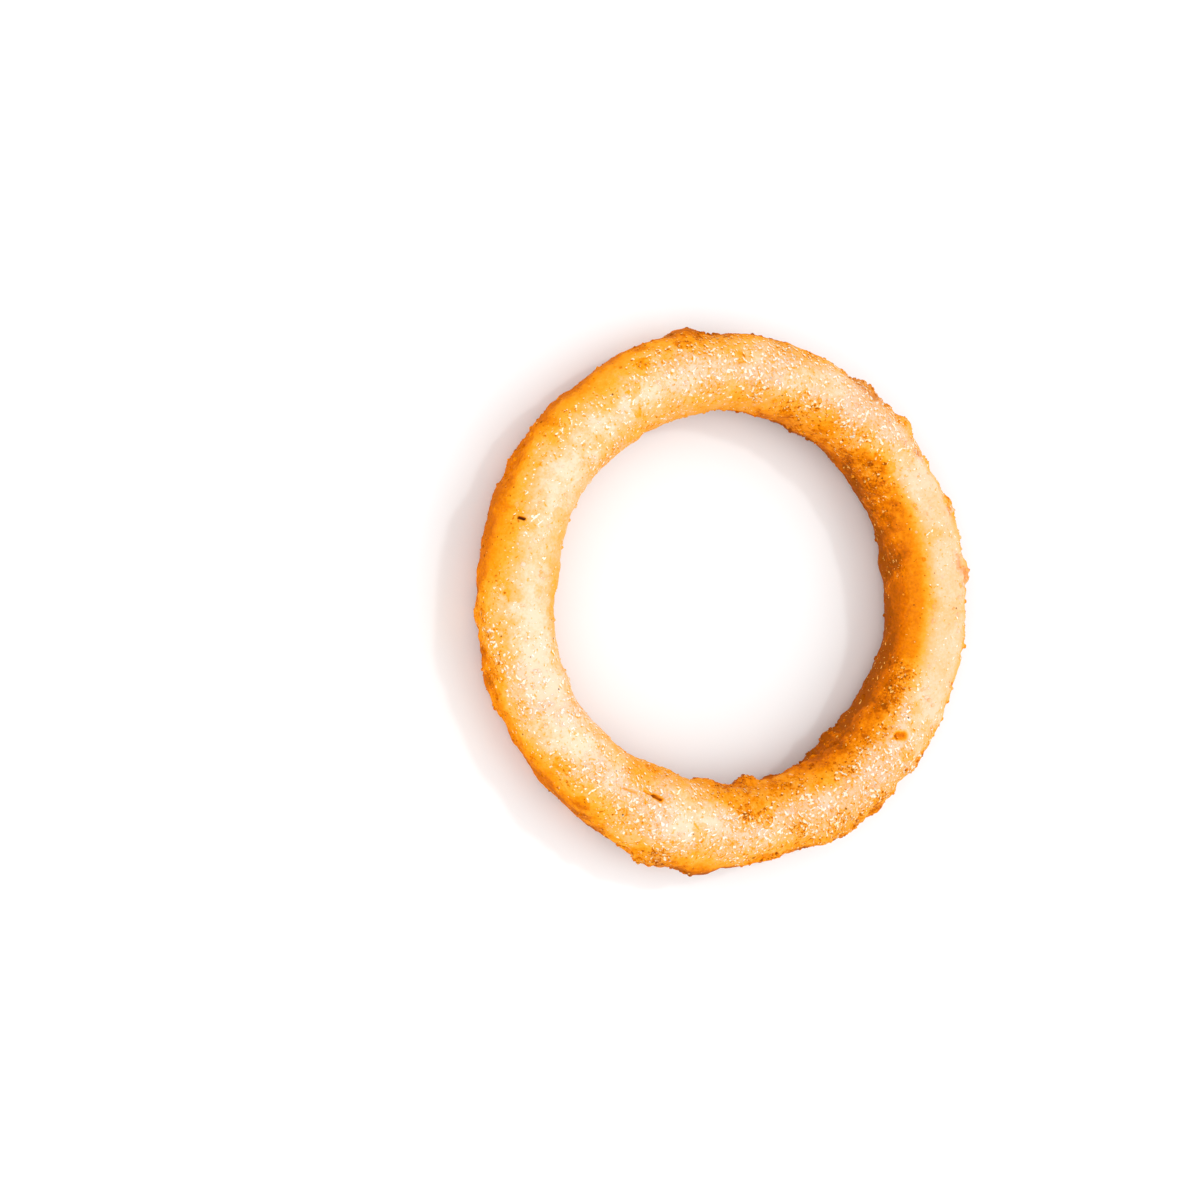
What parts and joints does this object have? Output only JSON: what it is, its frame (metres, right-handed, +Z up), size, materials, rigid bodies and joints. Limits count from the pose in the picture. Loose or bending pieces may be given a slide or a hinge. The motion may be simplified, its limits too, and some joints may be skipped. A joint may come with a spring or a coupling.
{
  "type": "battered onion ring",
  "caption": "Deep-fried battered onion ring: a thick, uneven, craggy band of golden batter round an open hole, lying flat on its underside.",
  "frame": {"origin": "under the middle of the ring, on the surface that it lies on", "axes": "+Z up through the hole, +Y along the ring's slightly longer diameter, +X along the shorter one"},
  "size_m": [0.0844, 0.0858, 0.0142],
  "materials": {
    "fried_batter": "satin"
  },
  "bodies": {
    "root": {"onion_ring": "fried_batter"}
  },
  "joints": []
}
